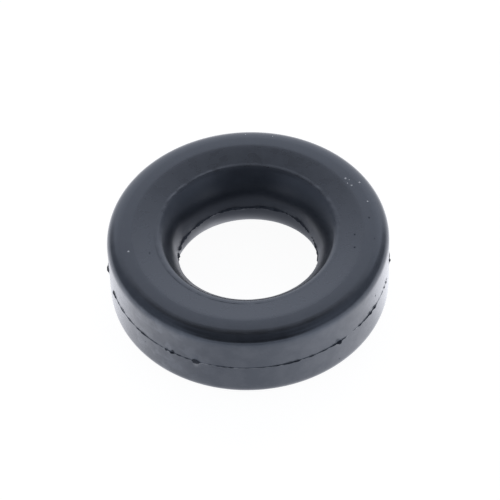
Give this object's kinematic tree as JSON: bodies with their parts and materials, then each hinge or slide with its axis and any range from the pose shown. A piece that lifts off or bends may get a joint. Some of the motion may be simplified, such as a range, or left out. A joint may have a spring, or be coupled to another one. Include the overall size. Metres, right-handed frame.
{
  "type": "rubber ring",
  "caption": "Moulded black rubber cushion ring with flat faces, rounded outer corners and a waisted bore that flares to a crisp lip on each face.",
  "frame": {"origin": "centre of the lower face, on the bore's axis", "axes": "+Z along the bore's axis, up from the face that the ring lies on; the ring is the same all the way round, so X and Y are free"},
  "size_m": [0.0203, 0.0202, 0.006],
  "materials": {
    "rubber": "moulded black rubber, satin, with a fine flash line"
  },
  "bodies": {
    "root": {"rubber_ring": "rubber"}
  },
  "joints": []
}
